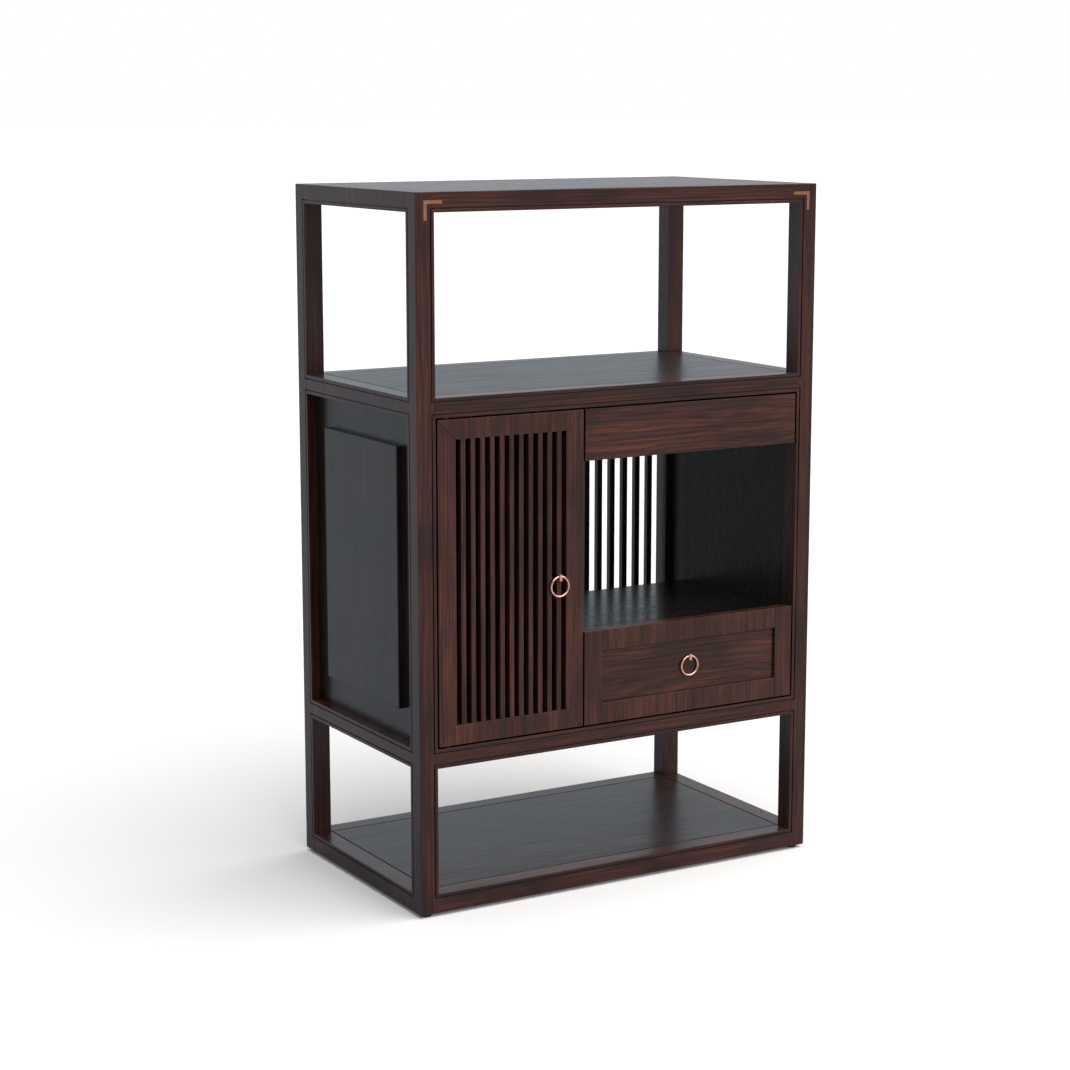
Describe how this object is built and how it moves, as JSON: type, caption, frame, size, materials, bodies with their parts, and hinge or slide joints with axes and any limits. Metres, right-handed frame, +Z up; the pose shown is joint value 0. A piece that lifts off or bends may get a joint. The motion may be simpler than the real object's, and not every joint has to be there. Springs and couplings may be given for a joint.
{
  "type": "open tansu cabinet",
  "caption": "Floor-standing open cabinet in dark wood: slatted pivot door, drawers, open niche with a barred back, and open bays above and below.",
  "frame": {"origin": "centre of the footprint, on the floor under the glides", "axes": "+Z up, front faces -Y, +X to the right seen from the front"},
  "size_m": [0.792, 0.4541, 1.206],
  "materials": {
    "frame_walnut": "dark walnut, satin",
    "panel_walnut": "dark walnut, semi-gloss",
    "case_walnut": "dark walnut, satin",
    "front_walnut": "dark walnut, satin",
    "box_wood": "plain light wood, oiled",
    "copper": "brushed copper",
    "rose_gold": "polished rose gold",
    "brass": "turned brass",
    "steel": "zinc plated",
    "magnet": "brown plastic case",
    "glide": "black nylon"
  },
  "bodies": {
    "cabinet": {"post_front_left": "frame_walnut", "post_front_right": "frame_walnut", "post_back_left": "frame_walnut", "post_back_right": "frame_walnut", "base_rail_front": "frame_walnut", "base_rail_back": "frame_walnut", "base_rail_left": "frame_walnut", "base_rail_right": "frame_walnut", "lower_shelf_rail_front": "frame_walnut", "lower_shelf_rail_back": "frame_walnut", "lower_shelf_rail_left": "frame_walnut", "lower_shelf_rail_right": "frame_walnut", "upper_shelf_rail_front": "frame_walnut", "upper_shelf_rail_back": "frame_walnut", "upper_shelf_rail_left": "frame_walnut", "upper_shelf_rail_right": "frame_walnut", "top_rail_front": "frame_walnut", "top_rail_back": "frame_walnut", "top_rail_left": "frame_walnut", "top_rail_right": "frame_walnut", "base_panel": "panel_walnut", "lower_shelf_panel": "panel_walnut", "upper_shelf_panel": "panel_walnut", "top_panel": "panel_walnut", "side_panel_left": "case_walnut", "side_panel_right": "case_walnut", "divider": "case_walnut", "compartment_back": "case_walnut", "niche_floor": "case_walnut", "niche_ceiling": "case_walnut", "grille_bars": "case_walnut", "lower_drawer_runners": "box_wood", "upper_drawer_runners": "box_wood", "corner_inlays": "copper", "pivot_sockets": "brass", "catch_magnet": "magnet", "floor_glides": "glide"},
    "door": {"door_stile_left": "front_walnut", "door_stile_right": "front_walnut", "door_rail_top": "front_walnut", "door_rail_bottom": "front_walnut", "door_slats": "front_walnut", "door_pivot_pins": "brass", "door_strike": "steel", "door_pull_post": "rose_gold"},
    "door_ring": {"door_ring": "rose_gold"},
    "lower_drawer": {"lower_drawer_stiles": "front_walnut", "lower_drawer_rails": "front_walnut", "lower_drawer_panel": "front_walnut", "lower_drawer_sides": "box_wood", "lower_drawer_back": "box_wood", "lower_drawer_bottom": "box_wood", "lower_drawer_pull_post": "rose_gold"},
    "lower_drawer_ring": {"lower_drawer_ring": "rose_gold"},
    "upper_drawer": {"upper_drawer_front": "front_walnut", "upper_drawer_sides": "box_wood", "upper_drawer_back": "box_wood", "upper_drawer_bottom": "box_wood"}
  },
  "joints": [
    {"name": "door_hinge", "type": "hinge", "parent": "cabinet", "child": "door", "pos_m": [-0.339, -0.214, 0.5655], "axis": [0, 0, -1], "range_deg": [0, 120]},
    {"name": "door_ring_swing", "type": "hinge", "parent": "door", "child": "door_ring", "pos_m": [-0.12775, -0.2267, 0.5585], "axis": [-1, 0, 0], "range_deg": [0, 165]},
    {"name": "lower_drawer_slide", "type": "slide", "parent": "cabinet", "child": "lower_drawer", "axis": [0, -1, 0], "range_m": [0, 0.25]},
    {"name": "lower_drawer_ring_swing", "type": "hinge", "parent": "lower_drawer", "child": "lower_drawer_ring", "pos_m": [0.141, -0.2222, 0.389], "axis": [-1, 0, 0], "range_deg": [0, 165]},
    {"name": "upper_drawer_slide", "type": "slide", "parent": "cabinet", "child": "upper_drawer", "axis": [0, -1, 0], "range_m": [0, 0.2]}
  ]
}
